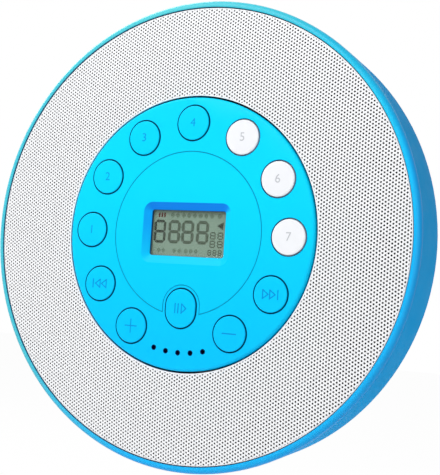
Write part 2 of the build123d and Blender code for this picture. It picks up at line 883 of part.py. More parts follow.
with BuildPart() as chuck_balls:
    with Locations(*ball_places):
        Sphere(ball_radius)
save(chuck_balls, "chuck_balls")

with BuildPart() as spindle_shaft:
    with BuildSketch(face(hub_front)):
        Circle(spindle_radius)
    extrude(amount=hub_front - chassis_back - motor_length + chassis_thickness)
save(spindle_shaft, "spindle_shaft")

with BuildPart() as spindle_motor:
    with BuildSketch(face(chassis_back)):
        Circle(motor_radius)
    extrude(amount=-motor_length)
    fillet(spindle_motor.edges().group_by(Axis.Y)[-1], 3 * slip)
    with BuildSketch(face(chassis_back)):
        Circle(motor_radius / 4)
    extrude(amount=chassis_thickness)
    with BuildSketch(face(chassis_front)):
        Circle(spindle_radius + running_gap)
    extrude(amount=-chassis_thickness - motor_length + chassis_thickness / 2, mode=Mode.SUBTRACT)
save(spindle_motor, "spindle_motor")

# Chassis plate of the pickup mechanism, with bent tabs for the rails and the lead screw
tab_inner = motor_radius + tab_inner_gap
tab_outer = lens_inner + sled_travel + bush_length / 2 + tab_edge
tab_height = 2 * rail_radius + 2 * sled_wall
screw_tab = screw_offset - rail_spread / 2
chassis_end = tab_outer + chassis_thickness + chassis_lip
with BuildPart() as traverse_chassis:
    with BuildSketch(face(chassis_front)):
        with Locations(((chassis_start + chassis_end) / 2, 0)):
            RectangleRounded(chassis_end - chassis_start, chassis_height, chassis_corner)
        Circle(motor_radius / 2, mode=Mode.SUBTRACT)
        with Locations(((slot_start + slot_end) / 2, 0)):
            Rectangle(slot_end - slot_start, lens_block_width + 2 * sled_gap, mode=Mode.SUBTRACT)
        with Locations(*damper_places):
            Circle(damper_waist, mode=Mode.SUBTRACT)
    extrude(amount=-chassis_thickness)
    tab_reach = rail_drop + rail_radius + tab_edge
    with BuildSketch(face(chassis_back)):
        with GridLocations(0, rail_spread, 1, 2):
            with Locations((tab_inner + chassis_thickness / 2, 0), (tab_outer + chassis_thickness / 2, 0)):
                Rectangle(chassis_thickness, tab_height)
        with Locations((tab_outer + chassis_thickness / 2, -rail_spread / 2 - screw_tab / 2)):
            Rectangle(chassis_thickness, screw_tab + tab_height)
        with Locations((sled_motor_end + chassis_thickness / 2, -screw_offset)):
            Rectangle(chassis_thickness, 2 * sled_motor_radius)
    extrude(amount=-tab_reach)
    with BuildSketch(side(tab_inner)):
        with Locations((rail_spread / 2, rail_depth), (-rail_spread / 2, rail_depth)):
            Circle(rail_radius)
    extrude(amount=tab_inner - chassis_end, mode=Mode.SUBTRACT)
    with BuildSketch(side(sled_motor_end)):
        with Locations((-screw_offset, rail_depth)):
            Circle(screw_radius + running_gap)
    extrude(amount=sled_motor_end - chassis_end, mode=Mode.SUBTRACT)
save(traverse_chassis, "traverse_chassis")

with BuildPart() as traverse_dampers:
    for depth, height, radius in ((floor_back, chassis_gap, damper_flange),
                                  (chassis_front, chassis_thickness, damper_waist),
                                  (chassis_back, chassis_gap, damper_flange)):
        with BuildSketch(face(depth)):
            with Locations(*damper_places):
                Circle(radius)
                Circle(damper_bore, mode=Mode.SUBTRACT)
        extrude(amount=-height)
save(traverse_dampers, "traverse_dampers")

with BuildPart() as sled_rails:
    with BuildSketch(side(tab_inner)):
        with Locations((rail_spread / 2, rail_depth), (-rail_spread / 2, rail_depth)):
            Circle(rail_radius)
    extrude(amount=tab_inner - tab_outer - chassis_thickness)
save(sled_rails, "sled_rails")

# Pickup sled: the lens block, two bushes on the rails, and the nut on the lead screw
sled_front = chassis_back + 4 * slip
sled_back = rail_depth + rail_radius + sled_wall
with BuildPart() as pickup_sled:
    with BuildSketch(face(sled_front)):
        with Locations((lens_inner, 0)):
            Rectangle(sled_length, lens_block_width + 2 * sled_margin)
            Rectangle(bush_length, rail_spread + tab_height)
        with Locations((lens_inner, -screw_offset / 2)):
            Rectangle(nut_length, screw_offset + tab_height)
    extrude(amount=sled_front - sled_back)
    with BuildSketch(face(sled_front)):
        with Locations((lens_inner, 0)):
            Rectangle(lens_block_length, lens_block_width)
    extrude(amount=sled_front - lens_block_front)
    with BuildSketch(side(lens_inner - sled_length)):
        with Locations((rail_spread / 2, rail_depth), (-rail_spread / 2, rail_depth)):
            Circle(rail_radius + running_gap)
        with Locations((-screw_offset, rail_depth)):
            Circle(screw_radius + running_gap)
    extrude(amount=-2 * sled_length, mode=Mode.SUBTRACT)
    fillet(pickup_sled.edges().filter_by(Axis.Y).group_by(Axis.Y)[0], 3 * slip)
save(pickup_sled, "pickup_sled")

with BuildPart() as pickup_lens:
    with BuildSketch(face(lens_block_front)):
        with Locations((lens_inner, 0)):
            Circle(lens_radius)
    extrude(amount=lens_height)
    fillet(pickup_lens.edges().group_by(Axis.Y)[0], lens_height / 2)
save(pickup_lens, "pickup_lens")

with BuildPart() as lead_screw:
    with BuildSketch(side(sled_motor_end - screw_entry)):
        with Locations((-screw_offset, rail_depth)):
            Circle(screw_radius)
    extrude(amount=sled_motor_end - screw_entry - tab_outer - chassis_thickness)
save(lead_screw, "lead_screw")

with BuildPart() as sled_motor:
    with BuildSketch(side(sled_motor_end - sled_motor_length)):
        with Locations((-screw_offset, rail_depth)):
            Circle(sled_motor_radius)
    extrude(amount=-sled_motor_length)
    with BuildSketch(side(sled_motor_end)):
        with Locations((-screw_offset, rail_depth)):
            Circle(screw_radius + running_gap)
    extrude(amount=screw_entry + slip, mode=Mode.SUBTRACT)
    fillet(sled_motor.edges().group_by(Axis.X)[0], 3 * slip)
save(sled_motor, "sled_motor")

# Latch at the lid's lower edge: the striker on the lid pushes the plunger in
latch_front = rim_back
with BuildPart() as latch_body:
    with BuildSketch(face(latch_front)):
        with Locations((0, -latch_z)):
            Rectangle(latch_width + 2 * latch_side_wall, latch_height + latch_end_wall)
    extrude(amount=-latch_length)
    with BuildSketch(face(latch_front)):
        with Locations((0, -latch_z)):
            Rectangle(latch_width, latch_height - 4 * slip)
    extrude(amount=-latch_pocket, mode=Mode.SUBTRACT)
    with BuildSketch(face(latch_front)):
        with Locations((0, -latch_z)):
            Circle(plunger_stem + running_gap)
    extrude(amount=-latch_length + latch_end_wall, mode=Mode.SUBTRACT)
save(latch_body, "latch_body")

plunger_front = lid_depth + striker_length + slip
with BuildPart() as latch_plunger:
    with BuildSketch(face(plunger_front)):
        with Locations((0, -latch_z)):
            Rectangle(striker_width - 2 * plunger_tip_inset, striker_thickness - plunger_tip_inset / 2)
    extrude(amount=plunger_front - latch_front - latch_pocket + slip)
    with BuildSketch(face(plunger_front)):
        with Locations((0, -latch_z)):
            Circle(plunger_stem)
    extrude(amount=plunger_front - latch_front - latch_length + plunger_end_gap)
save(latch_plunger, "latch_plunger")

with BuildPart() as hinge_pins:
    for start in (-knuckle_start - pin_length, knuckle_start):
        with BuildSketch(side(start)):
            with Locations((hinge_z, hinge_depth)):
                Circle(hinge_pin_radius)
        extrude(amount=-pin_length)
save(hinge_pins, "hinge_pins")


# A loudspeaker: basket, magnet, and the cone with its rolled surround and dust cap
def shape_speaker(name, x):
    axis = Axis((x, 0, 0), (0, 1, 0))
    cone_back = baffle_back + speaker_depth - magnet_thickness
    roll_inner = cone_radius - surround_width
    rim = cone_radius + speaker_hole_margin - slip
    floor_radius = magnet_radius - basket_floor_inset
    with BuildPart() as basket:
        with BuildSketch(section(x=x)):
            with BuildLine():
                Polyline(
                    (cone_radius, baffle_back),
                    (speaker_radius, baffle_back),
                    (speaker_radius, baffle_back + basket_sheet),
                    (cone_radius + basket_sheet, baffle_back + basket_sheet),
                    (floor_radius, cone_back - basket_sheet),
                    (floor_radius, cone_back),
                    (voice_coil_radius, cone_back),
                    (voice_coil_radius, cone_back - basket_sheet),
                    (floor_radius - basket_floor_draft, cone_back - basket_sheet),
                    (cone_radius, baffle_back + basket_sheet),
                    close=True,
                )
            make_face()
        revolve(axis=axis)
        with BuildSketch(section(x=x)):
            with Locations((0, baffle_back + speaker_depth / 3)):
                Rectangle(2 * speaker_radius, speaker_depth / 6)
        extrude(amount=basket_window / 2, both=True, mode=Mode.SUBTRACT)
    save(basket, f"{name}_speaker_basket")
    with BuildPart() as magnet:
        with BuildSketch(face(cone_back)):
            with Locations((x, 0)):
                Circle(magnet_radius)
        extrude(amount=-magnet_thickness)
        with BuildSketch(face(cone_back)):
            with Locations((x, 0)):
                Circle(voice_coil_radius)
        extrude(amount=-magnet_thickness / 2, mode=Mode.SUBTRACT)
    save(magnet, f"{name}_speaker_magnet")
    with BuildPart() as cone:
        with BuildSketch(section(x=x)):
            with BuildLine():
                coil_front = cone_back - coil_length
                cap_front = coil_front - dust_cap_rise
                Polyline((roll_inner, baffle_back - cone_sheet), (voice_coil_radius, coil_front),
                         (0, cap_front), (0, cap_front + cone_sheet),
                         (voice_coil_radius - cone_sheet, coil_front + cone_sheet),
                         (voice_coil_radius - cone_sheet, cone_back),
                         (voice_coil_radius - slip, cone_back),
                         (voice_coil_radius - slip, coil_front + cone_sheet),
                         (roll_inner, baffle_back), (rim, baffle_back), (rim, baffle_back - cone_sheet),
                         (cone_radius, baffle_back - cone_sheet))
                ThreePointArc((cone_radius, baffle_back - cone_sheet),
                              ((roll_inner + cone_radius) / 2, baffle_back - 3 * cone_sheet),
                              (roll_inner, baffle_back - cone_sheet))
            make_face()
        revolve(axis=axis)
    save(cone, f"{name}_speaker_cone")


shape_speaker("left", -speaker_x)
shape_speaker("right", speaker_x)

# Main board with its chips, and the sockets along its left edge
with BuildPart() as main_board:
    with BuildSketch(face(board_depth)):
        with Locations((board_centre, 0)):
            Rectangle(main_board_width, main_board_height)
        with Locations(*main_post_places):
            Circle(small_shank_radius + slip, mode=Mode.SUBTRACT)
    extrude(amount=-board_thickness)
    with BuildSketch(face(board_depth)):
        with Locations((board_centre + main_board_width / 4, main_board_height / 5),
                       (board_centre + main_board_width / 4, -main_board_height / 5)):
            Rectangle(main_board_width / 4, main_board_width / 4)
    extrude(amount=chip_height)
save(main_board, "main_board")

with BuildPart() as headphone_socket:
    with BuildSketch(side(board_left)):
        with Locations((port_z["jack"], board_depth - jack_body / 2)):
            Rectangle(jack_body, jack_body)
    extrude(amount=-jack_length - jack_end_wall)
    # Its nose fills the hole in the case, flush with the recess
    with BuildSketch(side(bay_floor)):
        with Locations((port_z["jack"], board_depth - jack_body / 2)):
            Circle(jack_body / 2)
    extrude(amount=bay_floor - board_left)
    with BuildSketch(side(bay_floor)):
        with Locations((port_z["jack"], board_depth - jack_body / 2)):
            Circle(jack_radius)
    extrude(amount=bay_floor - board_left - jack_length, mode=Mode.SUBTRACT)
save(headphone_socket, "headphone_socket")


def shape_socket(name, z, width, height, length, shell):
    """A box socket with an open mouth to the left and a tongue across the middle."""
    with BuildPart() as socket:
        with BuildSketch(side(board_left)):
            with Locations((z, board_depth - height / 2)):
                Rectangle(width, height)
        extrude(amount=-length)
        with BuildSketch(side(board_left)):
            with Locations((z, board_depth - height / 2)):
                Rectangle(width - 2 * shell, height - 2 * shell)
                Rectangle(width - 6 * shell, height / 4, mode=Mode.SUBTRACT)
        extrude(amount=-length * 3 / 4, mode=Mode.SUBTRACT)
    save(socket, name)


shape_socket("usb_socket", port_z["usb"], usb_width, usb_height, usb_length, socket_shell)
shape_socket("charging_socket", port_z["charging"], charging_width, charging_height, charging_length,
             socket_shell)

with BuildPart() as card_socket:
    with BuildSketch(side(board_left)):
        with Locations((port_z["card"], board_depth - card_height / 2)):
            Rectangle(card_width, card_height)
    extrude(amount=-card_length)
    with BuildSketch(side(board_left)):
        with Locations((port_z["card"], board_depth - card_height / 2)):
            Rectangle(card_width - 2 * card_wall, card_height / 2)
    extrude(amount=-card_length + 2 * card_wall, mode=Mode.SUBTRACT)
save(card_socket, "card_socket")

slider_centre = port_z["power"] - slider_travel / 2
slider_depth = board_depth - switch_body / 2
with BuildPart() as power_switch:
    with BuildSketch(side(board_left + slip)):
        with Locations((port_z["power"], slider_depth)):
            Rectangle(switch_body_length, switch_body)
    extrude(amount=-switch_body_depth)
save(power_switch, "power_switch")

with BuildPart() as power_slider:
    flange_front = bay_floor + wall + slip
    with BuildSketch(side(flange_front)):
        with Locations((slider_centre, slider_depth)):
            Rectangle(slider_length + 2 * slider_flange, switch_body)
    extrude(amount=flange_front - board_left)
    with BuildSketch(side(flange_front)):
        with Locations((slider_centre, slider_depth)):
            Rectangle(slider_length, slider_width)
    extrude(amount=flange_front - bay_floor + slider_proud)
    fillet(power_slider.edges().group_by(Axis.X)[0], 2 * slip)
save(power_slider, "power_slider")

with BuildPart() as battery_pack:
    with BuildSketch(face(rear_inner)):
        with Locations((0, -battery_drop)):
            Rectangle(battery_width, battery_height)
    extrude(amount=battery_thickness)
    fillet(battery_pack.edges().filter_by(Axis.X), battery_thickness / 4)
save(battery_pack, "battery_pack")

# Screws, one group for each place
case_screw_places = around(case_screw_circle, case_screw_count, case_screw_start)
lid_boss_places = around(lid_boss_circle, 4, 45)
post_places = around(post_circle, 4, 45)
save(screws(case_boss_end + boss_web, case_screw_places, screw_shank_radius, case_screw_length, toward=-1),
     "case_screws")
save(screws(deck_rim_depth, deck_screw_places, screw_shank_radius, deck_screw_length, flat=True),
     "deck_screws")
save(screws(lid_depth, lid_boss_places, screw_shank_radius, lid_screw_length, toward=-1, flat=True),
     "lid_screws")
save(screws(board_back, post_places, small_shank_radius, small_screw_length, toward=-1), "board_screws")
save(screws(board_depth, main_post_places, small_shank_radius, small_screw_length), "main_board_screws")
save(screws(post_end, damper_places, small_shank_radius, small_screw_length, toward=-1,
            head=damper_screw_head), "damper_screws")
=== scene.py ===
import json
from math import atan2, cos, hypot, pi, radians, sin

import bpy
from mathutils import Matrix, Vector


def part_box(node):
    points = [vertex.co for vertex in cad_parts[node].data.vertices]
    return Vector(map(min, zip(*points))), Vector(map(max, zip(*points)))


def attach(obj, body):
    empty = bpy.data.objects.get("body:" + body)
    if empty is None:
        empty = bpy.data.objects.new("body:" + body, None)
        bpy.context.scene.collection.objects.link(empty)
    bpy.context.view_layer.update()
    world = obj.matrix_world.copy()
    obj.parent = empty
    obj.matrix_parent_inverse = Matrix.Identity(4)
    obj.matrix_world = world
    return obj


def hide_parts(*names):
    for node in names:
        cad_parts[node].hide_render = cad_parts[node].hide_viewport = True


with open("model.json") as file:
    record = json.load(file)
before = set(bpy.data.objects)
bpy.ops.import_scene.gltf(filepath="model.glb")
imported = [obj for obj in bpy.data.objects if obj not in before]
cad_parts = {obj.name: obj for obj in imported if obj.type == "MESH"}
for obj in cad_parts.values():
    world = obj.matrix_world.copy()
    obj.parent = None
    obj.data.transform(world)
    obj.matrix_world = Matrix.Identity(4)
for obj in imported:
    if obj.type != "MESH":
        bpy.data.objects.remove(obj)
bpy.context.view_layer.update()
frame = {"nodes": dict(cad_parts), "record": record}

# A round wall-hung disc player. Sizes below are millimetres, which MM turns into metres. A depth is
# measured from the face of the control panel towards the wall, as in the CAD source, and FRONT is how
# far that face stands from the wall. Two points nearer than SAME_PLACE, in metres, are one, and a point
# within ON_AXIS is on the middle line. Angles named here are in degrees.
MM = 0.001
FRONT = 42.2
SAME_PLACE = 1e-6
ON_AXIS = 1e-7
RING_SIDES = 192
SMOOTH_ANGLE = 35
CREASE_ANGLE = 32
PLATE_CREASE_ANGLE = 20

# Speaker grille, and the collar inside it, round the lid
GRILLE_INNER = 73.2
GRILLE_OUTER = 120.9
GRILLE_INNER_DEPTH = 1.2
GRILLE_OUTER_DEPTH = 3.4
GRILLE_BULGE = 0.35
GRILLE_SHEET = 0.6
HEM_COVER = 0.5
HEM_FOOT = 5.98
HOLE_RADIUS = 0.56
HOLE_PITCH = 1.91
COLUMN_PITCH = 1.48
COLLAR_RADIUS = 73.3

# Control panel: how far its flat face reaches, its seam, the slopes round its window, and its keys
FACE_RADIUS = 70.0
SEAM_RADIUS = 43.3
SLOPES_RADIUS = 31.5
SLOPES_FOOT = -17.5
KEY_CIRCLE = 58.4
KEY_RADIUS = 9.1
KEY_GAP = 0.6
KEY_TOP = -0.75
PLAY_KEY_WIDTH = 17.5
PLAY_KEY_STRAIGHT = 1.4
PLAY_KEY_DROP = 39.5
PLAY_KEY_LAND = 10.85
MICROPHONE_CIRCLE = 62.6
MICROPHONE_PITCH = 6.7
MICROPHONE_TOP = -58.0
MICROPHONE_SHADE_RING = 1.35

# Marks on the keys, and the display, where LCD_CORNER and LCD_GAP are shares of a segment's width
SYMBOL_WIDTH = 0.65
SYMBOL_DEPTH = 0.22
SYMBOL_ROUNDING = 0.35
STROKE_RISE = 0.5
NUMERAL_SIZE = 6.4
NUMERAL_HALF = 0.01
NUMERAL_LIFT = 0.012
LCD_X = -0.5
LCD_DEPTH = 4.4
LCD_LIFT = 0.05
LCD_FILM = 0.02
LCD_CORNER = 0.42
LCD_GAP = 0.25
PANE_THICKNESS = 0.8
PANE_CORNER = 1.3
PANE_EDGE = 0.15

# Place of the camera in metres, and where its right, its top and its back point
CAMERA_LENS = 79.63
CAMERA_SENSOR = 36
CAMERA_PLACE = (0.2618, -0.5264, -0.0320)
CAMERA_RIGHT = (0.89431, 0.44220, 0.06833)
CAMERA_UP = (-0.03621, -0.08068, 0.99608)
CAMERA_BACK = (0.44598, -0.89328, -0.05615)

# Floor in metres, the share of white that it shows, and the light of the world
FLOOR_SIZE = 8
FLOOR_HEIGHT = -0.3
FLOOR_WHITE = 0.97
WORLD_LIGHT = 0.3
WHITE = (1, 1, 1, 1)


# Camera, at the photograph's angle
def photo_camera():
    view = bpy.data.cameras.new("photo_camera")
    view.lens = CAMERA_LENS
    view.sensor_width = CAMERA_SENSOR
    camera = bpy.data.objects.new("photo_camera", view)
    turn = Matrix((CAMERA_RIGHT, CAMERA_UP, CAMERA_BACK)).transposed().to_4x4()
    camera.matrix_world = Matrix.Translation(CAMERA_PLACE) @ turn
    bpy.context.scene.collection.objects.link(camera)
    bpy.context.scene.camera = camera


# Modelling helpers
def y_of(depth):
    """Blender's y of a depth, in metres."""
    return (depth - FRONT) * MM


def deselect():
    bpy.ops.object.select_all(action="DESELECT")


def select_only(*pieces):
    deselect()
    for piece in pieces:
        piece.select_set(True)
    bpy.context.view_layer.objects.active = pieces[0]


def select_mesh():
    """Goes into edit mode with the whole mesh of the active piece selected."""
    bpy.ops.object.mode_set(mode="EDIT")
    bpy.ops.mesh.select_all(action="SELECT")


def settle(piece, name):
    """Names a piece and moves its place into its mesh."""
    select_only(piece)
    bpy.ops.object.transform_apply(location=True, rotation=True, scale=True)
    piece.name = name
    piece.data.name = name
    return piece


def join(pieces):
    """Makes one piece of several."""
    select_only(*pieces)
    bpy.ops.object.join()
    return pieces[0]


def apply_modifiers(piece):
    select_only(piece)
    for modifier in list(piece.modifiers):
        bpy.ops.object.modifier_apply(modifier=modifier.name)


def repeat(piece, count, step, merge=False):
    """Copies a piece in a row, each copy a step from the last."""
    row = piece.modifiers.new("row", "ARRAY")
    row.count = count
    row.use_relative_offset = False
    row.use_constant_offset = True
    row.constant_offset_displace = step
    row.use_merge_vertices = merge
    row.merge_threshold = SAME_PLACE
    apply_modifiers(piece)


def outward(piece):
    """Merges doubles and turns every face outwards."""
    select_only(piece)
    select_mesh()
    bpy.ops.mesh.remove_doubles(threshold=SAME_PLACE)
    bpy.ops.mesh.normals_make_consistent(inside=False)
    bpy.ops.object.mode_set(mode="OBJECT")


def smooth(piece):
    select_only(piece)
    bpy.ops.object.shade_smooth_by_angle(angle=radians(SMOOTH_ANGLE))


def turned(name, outline):
    """A ring turned about the player's axis, from its section's corners as (radius, depth)."""
    deselect()
    radius, depth = outline[0]
    bpy.ops.mesh.primitive_circle_add(vertices=RING_SIDES, radius=radius * MM, location=(0, y_of(depth), 0),
                                      rotation=(pi / 2, 0, 0))
    piece = settle(bpy.context.object, name)
    select_mesh()
    for next_radius, next_depth in outline[1:] + outline[:1]:
        bpy.ops.mesh.extrude_edges_move(TRANSFORM_OT_translate={"value": (0, (next_depth - depth) * MM, 0)})
        scale = next_radius / radius
        bpy.ops.transform.resize(value=(scale, 1, scale), center_override=(0, 0, 0))
        radius, depth = next_radius, next_depth
    bpy.ops.object.mode_set(mode="OBJECT")
    outward(piece)
    smooth(piece)
    return piece


def finish_piece(piece, body, finish):
    """Gives a piece its finish and the body it rides on."""
    piece.data.materials.clear()
    piece.data.materials.append(finishes[finish])
    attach(piece, body)


# Shader helpers
def feed(tree, node, values):
    """Gives a node's inputs plain values, or links the outputs of other nodes to them."""
    for key, value in values.items():
        if isinstance(value, bpy.types.NodeSocket):
            tree.links.new(value, node.inputs[key])
        else:
            node.inputs[key].default_value = value


def add_node(tree, kind, values=None, **settings):
    """A new shader node of a kind, with its settings and the values of its inputs."""
    node = tree.nodes.new("ShaderNode" + kind)
    for key, value in settings.items():
        setattr(node, key, value)
    feed(tree, node, values or {})
    return node


def joined(tree, operation, *amounts):
    """One amount from several, by adding, multiplying or the like, from first to last."""
    total = amounts[0]
    for amount in amounts[1:]:
        total = add_node(tree, "Math", {0: total, 1: amount}, operation=operation).outputs[0]
    return total


def ramp(tree, value, low, high):
    """From 0 at low to 1 at high, which may be the lesser of the two."""
    node = add_node(tree, "MapRange", {"Value": value, "From Min": low, "From Max": high})
    return node.outputs["Result"]


def spread(tree, noise, low, high):
    """Spreads a noise, which stays near a half, over a range."""
    node = add_node(tree, "MapRange", {"Value": noise.outputs["Fac"], "From Min": 0.3, "From Max": 0.7,
                                       "To Min": low, "To Max": high})
    return node.outputs["Result"]


def object_place(tree):
    return add_node(tree, "TexCoord").outputs["Object"]


def axis_in(tree, vector, axis):
    return add_node(tree, "SeparateXYZ", {0: vector}).outputs[axis]


def front_place(tree):
    """A place as it is seen straight from the front, without its depth."""
    flat = add_node(tree, "VectorMath", {0: object_place(tree), 1: (1, 0, 1)}, operation="MULTIPLY")
    return flat.outputs[0]


def by_radius(tree, low, high):
    """A ramp from one distance from the player's axis to another."""
    radius = add_node(tree, "VectorMath", {0: front_place(tree)}, operation="LENGTH")
    return ramp(tree, radius.outputs["Value"], low * MM, high * MM)


def by_depth(tree, low, high):
    """A ramp from one depth to another."""
    return ramp(tree, axis_in(tree, object_place(tree), 1), y_of(low), y_of(high))


def by_height(tree, low, high):
    """A ramp from one height over the player's axis to another."""
    return ramp(tree, axis_in(tree, object_place(tree), 2), low * MM, high * MM)


# Shader node groups
def new_group(name, takes):
    """A group with named inputs (label, kind, value) that gives a colour, a roughness and a height."""
    group = bpy.data.node_groups.new(name, "ShaderNodeTree")
    for label, kind, value in takes:
        socket = group.interface.new_socket(label, in_out="INPUT", socket_type="NodeSocket" + kind)
        socket.default_value = value
    for label, kind in (("Colour", "Color"), ("Roughness", "Float"), ("Height", "Float")):
        group.interface.new_socket(label, in_out="OUTPUT", socket_type="NodeSocket" + kind)
    return group, group.nodes.new("NodeGroupInput").outputs, group.nodes.new("NodeGroupOutput")


def moulded_group():
    """Moulded plastic: a fine spark-eroded grain, slow drift in tone and faint handling marks."""
    group, takes, gives = new_group(
        "moulded_plastic",
        [("Colour", "Color", (0.5, 0.5, 0.5, 1)), ("Drift", "Float", 0.03), ("Roughness", "Float", 0.3),
         ("Handling", "Float", 0.06), ("Grain Scale", "Float", 2600.0)])
    place = object_place(group)
    drift = add_node(group, "TexNoise", {"Vector": place, "Scale": 14.0, "Detail": 2.0})
    handling = add_node(group, "TexNoise", {"Vector": place, "Scale": 60.0, "Detail": 5.0, "Roughness": 0.65})
    grain = add_node(group, "TexNoise", {"Vector": place, "Scale": takes["Grain Scale"], "Detail": 2.0,
                                         "Roughness": 0.5})
    centred = joined(group, "SUBTRACT", drift.outputs["Fac"], 0.5)
    value = joined(group, "ADD", joined(group, "MULTIPLY", centred, takes["Drift"]), 1.0)
    tone = add_node(group, "HueSaturation", {"Color": takes["Colour"], "Value": value})
    marks = joined(group, "MULTIPLY", spread(group, handling, -1, 1), takes["Handling"])
    feed(group, gives, {"Colour": tone.outputs["Color"], "Height": grain.outputs["Fac"],
                        "Roughness": joined(group, "ADD", marks, takes["Roughness"])})
    return group


def metal_group():
    """Rolled or turned metal: streaks along one direction, small stains and a fine tooth."""
    group, takes, gives = new_group(
        "worked_metal",
        [("Colour", "Color", (0.5, 0.5, 0.5, 1)), ("Stretch", "Vector", (40.0, 900.0, 900.0)),
         ("Roughness", "Float", 0.3), ("Streak", "Float", 0.12), ("Stain", "Float", 0.1)])
    place = object_place(group)
    stretched = add_node(group, "VectorMath", {0: place, 1: takes["Stretch"]}, operation="MULTIPLY")
    streak = add_node(group, "TexNoise", {"Vector": stretched.outputs[0], "Scale": 1.0, "Detail": 4.0,
                                          "Roughness": 0.6})
    stain = add_node(group, "TexNoise", {"Vector": place, "Scale": 90.0, "Detail": 5.0, "Roughness": 0.7})
    lines = joined(group, "MULTIPLY", spread(group, streak, -1, 1), takes["Streak"])
    dull = joined(group, "MULTIPLY", spread(group, stain, -0.5, 1), takes["Stain"])
    tone = add_node(group, "HueSaturation", {"Color": takes["Colour"],
                                             "Value": joined(group, "SUBTRACT", 1.0, dull)})
    feed(group, gives, {"Colour": tone.outputs["Color"], "Height": streak.outputs["Fac"],
                        "Roughness": joined(group, "ADD", lines, takes["Roughness"])})
    return group


# Finishes, with the height of their grain in metres
MOULDED = moulded_group()
METAL = metal_group()
MOULDED_GRAIN = 0.0002
METAL_GRAIN = 0.0001
finishes = {}


def paint(red, green, blue):
    """A colour as the eye reads it, from 0 to 255, turned to the renderer's linear values."""
    return tuple(v / 12.92 if v <= 0.04045 else ((v + 0.055) / 1.055) ** 2.4
                 for v in (red / 255, green / 255, blue / 255)) + (1.0,)


def new_finish(name, group, values, bump, distance, shader):
    """A Principled material fed by one of the groups."""
    finish = bpy.data.materials.new(name)
    finish.use_nodes = True
    tree = finish.node_tree
    skin = add_node(tree, "Group", values, node_tree=group).outputs
    relief = add_node(tree, "Bump", {"Strength": bump, "Distance": distance, "Height": skin["Height"]})
    feed(tree, tree.nodes["Principled BSDF"],
         {"Base Color": skin["Colour"], "Roughness": skin["Roughness"], "Normal": relief.outputs["Normal"]})
    feed(tree, tree.nodes["Principled BSDF"], shader)
    finishes[name] = finish


def plastic(name, colour, roughness=0.3, drift=0.03, handling=0.05, grain=2600.0, bump=0.06, gloss=0.5):
    new_finish(name, MOULDED,
               {"Colour": colour, "Drift": drift, "Roughness": roughness, "Handling": handling,
                "Grain Scale": grain}, bump, MOULDED_GRAIN, {"Specular IOR Level": gloss})


def metal(name, colour, roughness=0.3, streak=0.1, stain=0.08, stretch=(40.0, 900.0, 900.0), bump=0.05):
    new_finish(name, METAL,
               {"Colour": colour, "Stretch": stretch, "Roughness": roughness, "Streak": streak,
                "Stain": stain}, bump, METAL_GRAIN, {"Metallic": 1.0})


def mix_shaders(tree, amount, first, second, end):
    """Mixes two shaders by an amount, and leads the result to the tree's end."""
    mix = add_node(tree, "MixShader", {"Fac": amount, 1: first.outputs[0], 2: second.outputs[0]})
    feed(tree, tree.nodes[end], {"Surface": mix.outputs["Shader"]})


def clear(name, colour, roughness):
    """A clear moulding that lets lamp light through to what lies behind it."""
    finish = bpy.data.materials.new(name)
    finish.use_nodes = True
    tree = finish.node_tree
    principled = tree.nodes["Principled BSDF"]
    feed(tree, principled, {"Base Color": colour, "Roughness": roughness, "Transmission Weight": 1.0,
                            "IOR": 1.2})
    through = add_node(tree, "BsdfTransparent", {"Color": colour})
    shadow = add_node(tree, "LightPath").outputs["Is Shadow Ray"]
    mix_shaders(tree, shadow, principled, through, "Material Output")
    finishes[name] = finish


